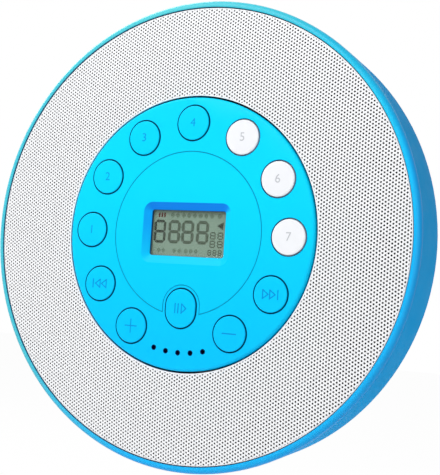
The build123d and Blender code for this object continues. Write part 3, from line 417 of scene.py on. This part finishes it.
def make_finishes():
    """Every finish of the player."""
    plastic("panel_cyan", paint(2, 214, 252), 0.42, 0.02, 0.04, gloss=0.08)
    plastic("plate_cyan", paint(2, 214, 252), 0.42, 0.02, 0.04, gloss=0.08)
    plastic("bezel_blue", paint(4, 178, 244), 0.34, 0.02, 0.05, gloss=0.22)
    plastic("case_blue", paint(6, 166, 236), 0.6, 0.03, 0.06, bump=0.12, gloss=0.04)
    plastic("key_blue", paint(2, 212, 252), 0.4, 0.02, 0.05, gloss=0.08)
    plastic("key_white", paint(236, 238, 242), 0.35, 0.01, 0.05, gloss=0.15)
    plastic("grille_white", paint(240, 241, 243), 0.42, 0.02, 0.05, 1800.0, 0.08)
    plastic("deck_grey", paint(205, 211, 217), 0.5, 0.03, 0.08, 1500.0, 0.2)
    plastic("black_plastic", paint(30, 31, 33), 0.45, 0.08, 0.1, 1800.0, 0.2)
    plastic("rubber_grey", paint(60, 62, 65), 0.8, 0.08, 0.08, 1200.0, 0.3)
    plastic("black_steel", paint(34, 35, 37), 0.4, 0.06, 0.1, 900.0, 0.25)
    plastic("cone_black", paint(56, 56, 58), 0.85, 0.15, 0.1, 700.0, 0.6)
    plastic("black_felt", paint(10, 14, 34), 0.95, 0.05, 0.05, 900.0, 0.1)
    plastic("board_green", paint(20, 92, 58), 0.35, 0.12, 0.1, 500.0, 0.15)
    plastic("lcd_grey", paint(108, 124, 112), 0.6, 0.05, 0.05, 3000.0, 0.03, 0.2)
    plastic("lcd_dark", paint(44, 50, 42), 0.6, 0.05, 0.05, gloss=0.2)
    plastic("lcd_red", paint(72, 26, 22), 0.6, 0.05, 0.05, gloss=0.2)
    plastic("lcd_middle", paint(62, 71, 60), 0.6, 0.05, 0.05, gloss=0.2)
    plastic("lcd_faint", paint(84, 98, 86), 0.6, 0.05, 0.05, gloss=0.2)
    plastic("symbol_blue", paint(2, 152, 222), 0.5, gloss=0.08)
    plastic("ink_grey", paint(188, 190, 196), 0.6, gloss=0.1)
    metal("screw_steel", paint(150, 152, 156), 0.35, 0.08, 0.15, (600.0, 600.0, 600.0))
    metal("bright_steel", paint(200, 202, 205), 0.28, 0.12, 0.08)
    metal("magnet_steel", paint(120, 122, 126), 0.45, 0.1, 0.25, (300.0, 300.0, 300.0))
    metal("battery_foil", paint(176, 180, 184), 0.4, 0.06, 0.1, (150.0, 150.0, 150.0), 0.2)
    clear("clear_window", paint(246, 250, 248), 0.03)
    clear("lens_glass", paint(190, 196, 240), 0.02)


# Colour that changes with place, in the mouldings: painted light and shade, and the grey of the baffle behind
# the grille
def tint(finish, amount, colour):
    """Mixes a second colour into a finish, by an amount from 0 to 1."""
    tree = finishes[finish].node_tree
    socket = next(n for n in tree.nodes if n.type == "GROUP").inputs["Colour"]
    before = socket.links[0].from_socket if socket.links else tuple(socket.default_value)
    mix = add_node(tree, "Mix", {"Factor": amount, 6: before, 7: colour}, data_type="RGBA")
    tree.links.new(mix.outputs[2], socket)


def play_key_distance(tree):
    """How far a place on the front lies from the upright line in the middle of the play key."""
    place = object_place(tree)
    lift = joined(tree, "ADD", axis_in(tree, place, 2), PLAY_KEY_DROP * MM)
    height = add_node(tree, "Math", {0: lift}, operation="ABSOLUTE").outputs[0]
    beyond = joined(tree, "MAXIMUM", joined(tree, "SUBTRACT", height, PLAY_KEY_STRAIGHT * MM), 0.0)
    flat = add_node(tree, "CombineXYZ", {0: axis_in(tree, place, 0), 1: beyond}).outputs[0]
    return add_node(tree, "VectorMath", {0: flat}, operation="LENGTH").outputs["Value"]


def nearest_of(tree, radius, angles):
    """How far a place on the front lies from the nearest of the points at a radius and some angles."""
    gaps = []
    for angle in map(radians, angles):
        centre = (radius * cos(angle) * MM, 0, radius * sin(angle) * MM)
        gap = add_node(tree, "VectorMath", {0: front_place(tree), 1: centre}, operation="DISTANCE")
        gaps.append(gap.outputs["Value"])
    return joined(tree, "MINIMUM", *gaps)


def seam_shade_band(tree):
    """A thin band of painted shade along the display plate's seam: its circle, and the land round the play
    key.
    """
    land = play_key_distance(tree)

    def by_land(low, high):
        return ramp(tree, land, (PLAY_KEY_LAND + low) * MM, (PLAY_KEY_LAND + high) * MM)

    circle = joined(tree, "MULTIPLY", by_radius(tree, SEAM_RADIUS - 0.4, SEAM_RADIUS - 0.2),
                    by_radius(tree, SEAM_RADIUS + 0.35, SEAM_RADIUS + 0.2), by_land(-0.1, 0))
    arch = joined(tree, "MULTIPLY", by_land(-0.4, -0.2), by_land(0.3, 0.15),
                  by_radius(tree, SEAM_RADIUS + 0.2, SEAM_RADIUS + 0.1))
    return joined(tree, "MAXIMUM", circle, arch)


def key_ring_shade(tree):
    """Where shade is painted on the front face, close round each key."""
    def ring(distance, edge):
        return ramp(tree, distance, (edge + KEY_GAP + 0.28) * MM, (edge + KEY_GAP + 0.12) * MM)

    # The play key takes the twelfth place, at 270 degrees
    round_keys = nearest_of(tree, KEY_CIRCLE, [angle for angle in range(0, 360, 30) if angle != 270])
    return joined(tree, "MAXIMUM", ring(round_keys, KEY_RADIUS),
                  ring(play_key_distance(tree), PLAY_KEY_WIDTH / 2))


def paint_bezel_light_and_shade():
    """Painted shade that deepens the blue towards the side wall, painted highlights at the top and left, and
    painted shade at the grille's edge; dark grey behind it. The collar is painted pale, a painted highlight."""
    tree = finishes["bezel_blue"].node_tree
    edge = GRILLE_OUTER
    crown_highlight = joined(tree, "MULTIPLY", by_height(tree, 0, 95), by_radius(tree, edge + 3.2, edge + 1.2))
    slant = add_node(tree, "VectorMath", {0: object_place(tree), 1: (-0.6, 0, 0.8)}, operation="DOT_PRODUCT")
    across = axis_in(tree, object_place(tree), 0)
    behind = joined(tree, "MULTIPLY", by_radius(tree, COLLAR_RADIUS + 0.1, COLLAR_RADIUS + 0.2),
                    by_radius(tree, edge + 0.3, edge + 0.2))
    collar = joined(tree, "MULTIPLY", by_radius(tree, COLLAR_RADIUS + 0.1, COLLAR_RADIUS),
                    by_depth(tree, 3.0, 2.0))
    # Painted shade: deeper blue where the bezel rolls over towards the side wall
    tint("bezel_blue", by_radius(tree, edge + 1.6, edge + 3.6), paint(4, 158, 232))
    # Painted highlights: lighter on the crown, at the top, towards the upper left and at the left
    tint("bezel_blue", crown_highlight, paint(6, 204, 246))
    tint("bezel_blue", by_height(tree, 40, 116), paint(26, 186, 216))
    tint("bezel_blue", ramp(tree, slant.outputs["Value"], 34 * MM, 112 * MM), paint(70, 196, 206))
    tint("bezel_blue", ramp(tree, across, -24 * MM, -100 * MM), paint(66, 190, 208))
    # Painted shade in the gap at the grille's edge
    tint("bezel_blue", by_radius(tree, edge + 0.55, edge + 0.3), paint(0, 96, 136))
    tint("bezel_blue", behind, paint(100, 98, 98))
    # Painted highlight: the collar's wall, seen in the lid's gap, is pale
    tint("bezel_blue", collar, paint(196, 224, 236))


def paint_front_shade(name):
    """Painted shade on the panel, plate or keys: deeper cyan towards the bottom, and dark in the gaps, along
    the seam and close round the keys."""
    tree = finishes[name].node_tree
    # Painted shade: deeper cyan towards the bottom, where less light falls
    tint(name, by_height(tree, 28, -62), paint(2, 193, 250))
    places = [by_radius(tree, FACE_RADIUS, FACE_RADIUS - 0.1)]
    if name == "plate_cyan":
        # Without the slopes round the window, which have painted shade of their own
        places.append(joined(tree, "MAXIMUM", by_radius(tree, SLOPES_RADIUS, SLOPES_RADIUS + 0.5),
                             by_height(tree, SLOPES_FOOT, SLOPES_FOOT - 0.5)))
    # Painted shade in the gaps just below the front face, and on the keys' sides and lower rounding
    start, end = (-0.3, -0.1) if name == "key_blue" else (0.01, 0.25)
    tint(name, joined(tree, "MULTIPLY", by_depth(tree, start, end), *places), paint(0, 96, 138))
    # Painted shade along the seam
    if name != "key_blue":
        tint(name, seam_shade_band(tree), paint(0, 158, 200))
    # Painted shade on the panel close round the keys
    if name == "panel_cyan":
        tint(name, key_ring_shade(tree), paint(0, 112, 168))
    # Darker painted shade deeper in the gaps
    tint(name, joined(tree, "MULTIPLY", by_depth(tree, 0.25, 0.9), *places), paint(0, 44, 78))


def paint_microphone_shade():
    """Painted shade in the microphone's holes, and on the front face close round them."""
    tree = finishes["panel_cyan"].node_tree
    holes = joined(tree, "MULTIPLY", by_depth(tree, 0.01, 0.1),
                   by_height(tree, MICROPHONE_TOP, MICROPHONE_TOP - 0.1),
                   by_radius(tree, MICROPHONE_CIRCLE + 3.4, MICROPHONE_CIRCLE + 3.3))
    # Painted shade on the holes' walls
    tint("panel_cyan", holes, paint(0, 14, 78))
    # Painted shade in a ring on the face round each hole
    gap = nearest_of(tree, MICROPHONE_CIRCLE, [270 + turn * MICROPHONE_PITCH for turn in range(-2, 3)])
    ring = ramp(tree, gap, (MICROPHONE_SHADE_RING + 0.2) * MM, MICROPHONE_SHADE_RING * MM)
    tint("panel_cyan", ring, paint(0, 22, 84))


def paint_slope_shade():
    """Painted shade on the slopes round the display: bluer at the left and top, as they face, and dark at
    their foot.
    """
    tree = finishes["plate_cyan"].node_tree
    facing = add_node(tree, "TexCoord").outputs["Normal"]
    slope = by_depth(tree, 0.02, 0.2)
    left = joined(tree, "MULTIPLY", ramp(tree, axis_in(tree, facing, 0), 0.1, 0.45), slope,
                  by_height(tree, -18, 4))
    top = joined(tree, "MULTIPLY", ramp(tree, axis_in(tree, facing, 2), -0.1, -0.42), slope)
    foot = joined(tree, "MULTIPLY", by_depth(tree, 2.2, 2.45),
                  by_radius(tree, SLOPES_RADIUS, SLOPES_RADIUS - 0.5))
    # Painted shade by the way each slope faces, and in the crease at their foot
    tint("plate_cyan", left, paint(0, 166, 248))
    tint("plate_cyan", top, paint(8, 134, 240))
    tint("plate_cyan", foot, paint(16, 72, 120))


# CAD nodes: welded and smoothed for show, with their finishes
def dress_frame():
    others = {"display_plate": "plate_cyan", "microphone": "black_felt"}
    for part in frame["record"]["subparts"]:
        node = frame["nodes"][part["node"]]
        finish = others.get(part["node"], part["material_slot"])
        node.data.materials.clear()
        node.data.materials.append(finishes[finish])
        node.data.shade_smooth()
        weld = node.modifiers.new("weld", "WELD")
        weld.merge_threshold = SAME_PLACE
        split = node.modifiers.new("crease", "EDGE_SPLIT")
        split.split_angle = radians(PLATE_CREASE_ANGLE if finish == "plate_cyan" else CREASE_ANGLE)


# Speaker grille
def grille_depth(radius):
    """Depth of the grille's outer face, which bulges slightly to the front."""
    share = (radius - GRILLE_INNER) / (GRILLE_OUTER - GRILLE_INNER)
    chord = GRILLE_INNER_DEPTH + share * (GRILLE_OUTER_DEPTH - GRILLE_INNER_DEPTH)
    return chord - 4 * GRILLE_BULGE * share * (1 - share)


def side_of(value):
    """1 or -1 for the two sides of the middle, and 0 on it."""
    return (value > SAME_PLACE) - (value < -SAME_PLACE)


def grille_cell():
    """One hole of the perforated sheet, in a flat oblong as wide and high as the pitches."""
    deselect()
    bpy.ops.mesh.primitive_circle_add(vertices=8, radius=HOLE_RADIUS * MM, rotation=(pi / 2, 0, 0))
    cell = settle(bpy.context.object, "grille_cell")
    select_mesh()
    bpy.ops.mesh.extrude_edges_move()
    bpy.ops.transform.resize(value=(3, 3, 3), center_override=(0, 0, 0))
    bpy.ops.object.mode_set(mode="OBJECT")
    for vertex in cell.data.vertices:
        x, _, z = vertex.co
        # The points that were drawn out go to the corners and sides of the oblong
        if hypot(x, z) > 2 * HOLE_RADIUS * MM:
            vertex.co = (side_of(x) * (COLUMN_PITCH / 2 * MM), 0, side_of(z) * (HOLE_PITCH / 2 * MM))
    return cell


def grille_quarter():
    """One quarter of the perforated sheet: cells in staggered columns, cut to the ring and dished. A few
    cells more than the radius holds pass the rim everywhere."""
    cell = grille_cell()
    repeat(cell, int(GRILLE_OUTER / HOLE_PITCH) + 3, (0, 0, HOLE_PITCH * MM), merge=True)
    bpy.ops.object.duplicate()
    second = bpy.context.object
    second.location = (COLUMN_PITCH * MM, 0, -HOLE_PITCH / 2 * MM)
    bpy.ops.object.transform_apply(location=True)
    quarter = join([cell, second])
    repeat(quarter, int(GRILLE_OUTER / COLUMN_PITCH / 2) + 2, (2 * COLUMN_PITCH * MM, 0, 0))
    low, high = (GRILLE_INNER + HEM_COVER) * MM, (GRILLE_OUTER - HEM_COVER) * MM
    mesh = quarter.data
    select_mesh()
    bpy.ops.mesh.remove_doubles(threshold=SAME_PLACE)
    bpy.ops.mesh.select_all(action="DESELECT")
    bpy.ops.object.mode_set(mode="OBJECT")

    def outside(point):
        radius = hypot(point.x, point.z)
        return radius <= low or radius >= high or point.x <= 0 and point.z <= 0

    gone = []
    for face in mesh.polygons:
        points = [mesh.vertices[corner].co for corner in face.vertices]
        gone.append(all(outside(point) for point in points) or all(point.x <= ON_AXIS for point in points)
                    or all(point.z <= ON_AXIS for point in points))
    mesh.polygons.foreach_set("select", gone)
    bpy.ops.object.mode_set(mode="EDIT")
    bpy.ops.mesh.delete(type="FACE")
    bpy.ops.object.mode_set(mode="OBJECT")
    for vertex in mesh.vertices:
        x, z = max(vertex.co.x, 0), max(vertex.co.z, 0)
        radius = max(hypot(x, z), ON_AXIS)
        kept = min(max(radius, low), high)
        x, z = x * kept / radius, z * kept / radius
        vertex.co = (x, y_of(grille_depth(kept / MM)), z)
    select_mesh()
    bpy.ops.mesh.dissolve_degenerate(threshold=2 * SAME_PLACE)
    bpy.ops.mesh.normals_make_consistent(inside=False)
    bpy.ops.object.mode_set(mode="OBJECT")
    return quarter


def grille_sheets():
    """Four quarters of the sheet, which thicken towards the wall and meet at the axes."""
    quarter = grille_quarter()
    sheet = quarter.modifiers.new("sheet", "SOLIDIFY")
    sheet.thickness = GRILLE_SHEET * MM
    faces_front = sum(face.normal.y * face.area for face in quarter.data.polygons) < 0
    sheet.offset = -1 if faces_front else 1
    apply_modifiers(quarter)
    outward(quarter)
    pieces = [quarter]
    for mirror in ((-1, 1, 1), (1, 1, -1), (-1, 1, -1)):
        copy = quarter.copy()
        copy.data = quarter.data.copy()
        bpy.context.scene.collection.objects.link(copy)
        copy.scale = mirror
        pieces.append(copy)
    for piece, name in zip(pieces, ("upper_right", "upper_left", "lower_right", "lower_left")):
        settle(piece, "grille_sheet_" + name)
        outward(piece)
        smooth(piece)
        finish_piece(piece, "case", "grille_white")
    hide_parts("speaker_grille")


def grille_hems():
    """The sheet's rims: a rounded outer one that goes down to the bezel, and a low inner one."""
    front = grille_depth(GRILLE_OUTER)
    inside = GRILLE_OUTER - GRILLE_SHEET
    outer = turned("grille_outer_hem", [
        (inside, front), (GRILLE_OUTER - 0.3, front + 0.04), (GRILLE_OUTER - 0.09, front + 0.16),
        (GRILLE_OUTER, front + 0.45), (GRILLE_OUTER, HEM_FOOT), (inside, HEM_FOOT)])
    finish_piece(outer, "case", "grille_white")
    front = GRILLE_INNER_DEPTH
    outside = GRILLE_INNER + GRILLE_SHEET
    inner = turned("grille_inner_hem", [
        (GRILLE_INNER, front + 0.12), (GRILLE_INNER, front + 0.8), (outside, front + 0.8),
        (outside, front), (GRILLE_INNER + 0.12, front)])
    finish_piece(inner, "case", "grille_white")


# Marks on the keys
def clock(hour):
    """The middle of the round key at an hour of the clock, as (x, z)."""
    angle = radians(90 - 30 * hour)
    return KEY_CIRCLE * cos(angle), KEY_CIRCLE * sin(angle)


def stroke(x1, z1, x2, z2, top, bottom):
    """A round-ended bar from one point to another, between two depths."""
    deselect()
    length = hypot(x2 - x1, z2 - z1)
    bpy.ops.mesh.primitive_cube_add(size=1)
    bar = bpy.context.object
    bar.scale = ((length + SYMBOL_WIDTH) * MM, (bottom - top) * MM, SYMBOL_WIDTH * MM)
    bpy.ops.object.transform_apply(scale=True)
    ends = bar.modifiers.new("ends", "BEVEL")
    ends.limit_method = "NONE"
    ends.width = SYMBOL_ROUNDING * SYMBOL_WIDTH * MM
    ends.segments = 2
    apply_modifiers(bar)
    bar.location = ((x1 + x2) / 2 * MM, y_of((top + bottom) / 2), (z1 + z2) / 2 * MM)
    bar.rotation_euler = (0, -atan2(z2 - z1, x2 - x1), 0)
    return settle(bar, "stroke")


def pressed_key(node, centre, strokes):
    """A key like its CAD node, with a symbol's strokes pressed into its top."""
    source = frame["nodes"][node]
    key = bpy.data.objects.new(node + "_cap", source.data.copy())
    bpy.context.scene.collection.objects.link(key)
    outward(key)
    key.data.materials.clear()
    key.data.materials.append(finishes["key_blue"])
    key.data.materials.append(finishes["symbol_blue"])
    for turn, (x1, z1, x2, z2) in enumerate(strokes):
        # No two bars end in one plane, which the cut could trip on
        bar = stroke(centre[0] + x1, centre[1] + z1, centre[0] + x2, centre[1] + z2,
                     KEY_TOP - STROKE_RISE - 0.02 * turn, KEY_TOP + SYMBOL_DEPTH + 0.003 * turn)
        bar.data.materials.append(finishes["symbol_blue"])
        cut = key.modifiers.new("symbol", "BOOLEAN")
        cut.operation = "DIFFERENCE"
        cut.solver = "EXACT"
        cut.material_mode = "TRANSFER"
        cut.object = bar
        apply_modifiers(key)
        bpy.data.objects.remove(bar)
    smooth(key)
    level = key.modifiers.new("level", "WEIGHTED_NORMAL")
    level.keep_sharp = True
    apply_modifiers(key)
    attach(key, node)
    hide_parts(node)


def pressed_keys():
    """The symbols' strokes are (x1, z1, x2, z2) from the middle of the key."""
    arrow = [(-1.5, -2.2, -1.5, 2.2), (-1.5, 2.2, 1.5, 0), (1.5, 0, -1.5, -2.2)]
    skip = [(x1 + shift, z1, x2 + shift, z2) for shift in (-2.6, 1.3) for x1, z1, x2, z2 in arrow]
    skip.append((4.2, -2.2, 4.2, 2.2))
    skip_back = [(-x1, z1, -x2, z2) for x1, z1, x2, z2 in skip]
    pause = [(-3, -2.4, -3, 2.4), (-1.2, -2.4, -1.2, 2.4)]
    play = [(0.8, -2.4, 0.8, 2.4), (0.8, 2.4, 3.4, 0), (3.4, 0, 0.8, -2.4)]
    pressed_key("next_key", clock(4), skip)
    pressed_key("previous_key", clock(8), skip_back)
    pressed_key("quieter_key", clock(5), [(-3.8, 0, 3.8, 0)])
    pressed_key("louder_key", clock(7), [(-3.5, 0, 3.5, 0), (0, -3.5, 0, 3.5)])
    pressed_key("play_key", (0, -PLAY_KEY_DROP), pause + play)


def numeral(text, node, hour, finish):
    """A plain numeral printed on a key's top."""
    deselect()
    bpy.ops.object.text_add(rotation=(pi / 2, 0, 0))
    curve = bpy.context.object
    curve.data.body = text
    curve.data.size = NUMERAL_SIZE * MM
    curve.data.align_x = "CENTER"
    curve.data.align_y = "CENTER"
    curve.data.extrude = NUMERAL_HALF * MM
    bpy.ops.object.convert(target="MESH")
    x, z = clock(hour)
    mark = bpy.context.object
    mark.location = (x * MM, y_of(KEY_TOP - NUMERAL_LIFT), z * MM)
    settle(mark, node + "_numeral")
    outward(mark)
    finish_piece(mark, node, finish)


def numerals():
    """1 to 7, clockwise from the key at nine o'clock."""
    for text, hour in zip("1234", (9, 10, 11, 12)):
        numeral(text, f"blue_key_{hour}", hour, "symbol_blue")
    for text, hour in zip("567", (1, 2, 3)):
        numeral(text, f"white_key_{hour}", hour, "ink_grey")


# Display: a thin clear pane and the segments on the glass behind it
def lcd_bar(x, z, width, height):
    """One segment of the display: a thin bar with its corners cut."""
    deselect()
    bpy.ops.mesh.primitive_plane_add(size=1, rotation=(pi / 2, 0, 0))
    bar = bpy.context.object
    bar.scale = (width * MM, height * MM, 1)
    bpy.ops.object.transform_apply(rotation=True, scale=True)
    select_mesh()
    bpy.ops.mesh.bevel(offset=LCD_CORNER * min(width, height) * MM, affect="VERTICES")
    bpy.ops.object.mode_set(mode="OBJECT")
    bar.location = ((LCD_X + x) * MM, y_of(LCD_DEPTH - LCD_LIFT), z * MM)
    return settle(bar, "lcd_bar")


def lcd_marks(name, bars, finish):
    """One piece of several segments, each (x, z, width, height) from the middle of the display."""
    marks = join([lcd_bar(*bar) for bar in bars])
    film = marks.modifiers.new("film", "SOLIDIFY")
    film.thickness = LCD_FILM * MM
    film.offset = 0
    apply_modifiers(marks)
    settle(marks, name)
    outward(marks)
    finish_piece(marks, "lid", finish)


def eight(x, z, width, height, line):
    """The seven segments of a figure eight, whose lines are this wide."""
    across, down = width - line, height / 2 - line / 2
    gap = LCD_GAP * line
    bars = [(x, z + k * down, across - gap, line) for k in (-1, 0, 1)]
    for side in (-1, 1):
        for k in (-1, 1):
            bars.append((x + side * across / 2, z + k * down / 2, line, down - gap))
    return bars


def segments():
    """The digits, the battery bars, the pointer and the small marks round them."""
    middle, tall = 0.8, 12.4
    lcd_marks("lcd_first_digit", eight(-17.6, middle, 7.1, tall, 1.5), "lcd_dark")
    digits = [bar for x in (-8.9, -0.8, 8.0) for bar in eight(x, middle, 7.3, tall, 1.7)]
    digits += [(-4.85, z, 0.8, 0.9) for z in (-1.8, 3.4)]
    lcd_marks("lcd_digits", digits, "lcd_middle")
    lcd_marks("lcd_battery_bars", [(-18.5 + 1.6 * k, 9.6, 1.0, 2.7) for k in range(3)], "lcd_red")
    pointer = [(16.6 + 0.45 * k, 4.6, 0.5, 0.5 + 0.5 * k) for k in range(8)]
    lcd_marks("lcd_pointer", pointer, "lcd_dark")
    small = [bar for z in (-0.6, -5.0) for x in (14.2, 18.6) for bar in eight(x, z, 3.4, 3.9, 0.7)]
    small += [bar for x in (12.8, 15.8, 18.8) for bar in eight(x, -9.5, 2.3, 3.2, 0.6)]
    lcd_marks("lcd_side_marks", small, "lcd_middle")
    rows = [(x, 9.6, 2.5, 2.7) for x in (-10.5, -7.4, -3.8, -0.6, 2.8, 6.2, 9.6, 13.0, 17.5)]
    rows += [(x, -9.2, 2.3, 2.5) for x in (-17.5, -14.8, -8.2, -5.0, -1.2, 1.8, 4.8)]
    lcd_marks("lcd_faint_marks", rows, "lcd_faint")


def window_pane():
    """The clear window, with rounded corners and a fine bevel round its edges."""
    deselect()
    bpy.ops.mesh.primitive_plane_add(size=1, rotation=(pi / 2, 0, 0))
    pane = bpy.context.object
    low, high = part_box("display_window")
    pane.scale = (high.x - low.x, high.z - low.z, 1)
    bpy.ops.object.transform_apply(rotation=True, scale=True)
    select_mesh()
    bpy.ops.mesh.bevel(offset=PANE_CORNER * MM, segments=4, affect="VERTICES")
    bpy.ops.mesh.extrude_region_move(TRANSFORM_OT_translate={"value": (0, PANE_THICKNESS * MM, 0)})
    bpy.ops.object.mode_set(mode="OBJECT")
    pane.location = ((low.x + high.x) / 2, low.y, (low.z + high.z) / 2)
    settle(pane, "window_pane")
    outward(pane)
    edge = pane.modifiers.new("edge", "BEVEL")
    edge.width = PANE_EDGE * MM
    edge.segments = 2
    apply_modifiers(pane)
    smooth(pane)
    finish_piece(pane, "lid", "clear_window")
    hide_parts("display_window")


# Floor, lamps and world
def background_rays(tree):
    """1 for rays that show the background, straight, in a gloss or through glass, and 0 for others."""
    rays = add_node(tree, "LightPath").outputs
    return joined(tree, "MAXIMUM", rays["Is Camera Ray"], rays["Is Glossy Ray"], rays["Is Transmission Ray"])


def pale_floor():
    """A pale floor that shows nearly white and keeps a trace of the player's shadow."""
    deselect()
    bpy.ops.mesh.primitive_plane_add(size=FLOOR_SIZE, location=(0, 0, FLOOR_HEIGHT))
    floor = settle(bpy.context.object, "floor")
    finish = bpy.data.materials.new("pale_floor")
    finish.use_nodes = True
    tree = finish.node_tree
    matt = tree.nodes["Principled BSDF"]
    feed(tree, matt, {"Base Color": paint(236, 236, 236), "Roughness": 0.9})
    white = add_node(tree, "Emission", {"Color": WHITE, "Strength": 1.0})
    seen = joined(tree, "MULTIPLY", background_rays(tree), FLOOR_WHITE)
    mix_shaders(tree, seen, matt, white, "Material Output")
    floor.data.materials.append(finish)


def softboxes():
    """Square lamps that face the player."""
    for name, place, size, power in (("key_softbox", (-0.5, -1.2, 1.3), 1.2, 26.0),
                                     ("fill_softbox", (1.2, -1.4, -0.2), 1.6, 10.0),
                                     ("rear_softbox", (-1.2, 0.5, 1.0), 1.2, 18.0)):
        lamp = bpy.data.lights.new(name, "AREA")
        lamp.shape = "SQUARE"
        lamp.size = size
        lamp.energy = power
        holder = bpy.data.objects.new(name, lamp)
        holder.location = place
        holder.rotation_euler = (-Vector(place)).to_track_quat("-Z", "Y").to_euler()
        bpy.context.scene.collection.objects.link(holder)


def pale_world():
    """A white background, and a lower even light."""
    world = bpy.data.worlds.new("studio")
    bpy.context.scene.world = world
    world.use_nodes = True
    tree = world.node_tree
    ambient = tree.nodes["Background"]
    feed(tree, ambient, {"Color": WHITE, "Strength": WORLD_LIGHT})
    shown = add_node(tree, "Background", {"Color": WHITE, "Strength": 1.0})
    mix_shaders(tree, background_rays(tree), ambient, shown, "World Output")


photo_camera()
bpy.context.scene.view_settings.view_transform = "Standard"
make_finishes()
paint_bezel_light_and_shade()
for moulding in ("panel_cyan", "key_blue", "plate_cyan"):
    paint_front_shade(moulding)
paint_microphone_shade()
paint_slope_shade()
dress_frame()
grille_sheets()
grille_hems()
pressed_keys()
numerals()
segments()
window_pane()
pale_floor()
softboxes()
pale_world()
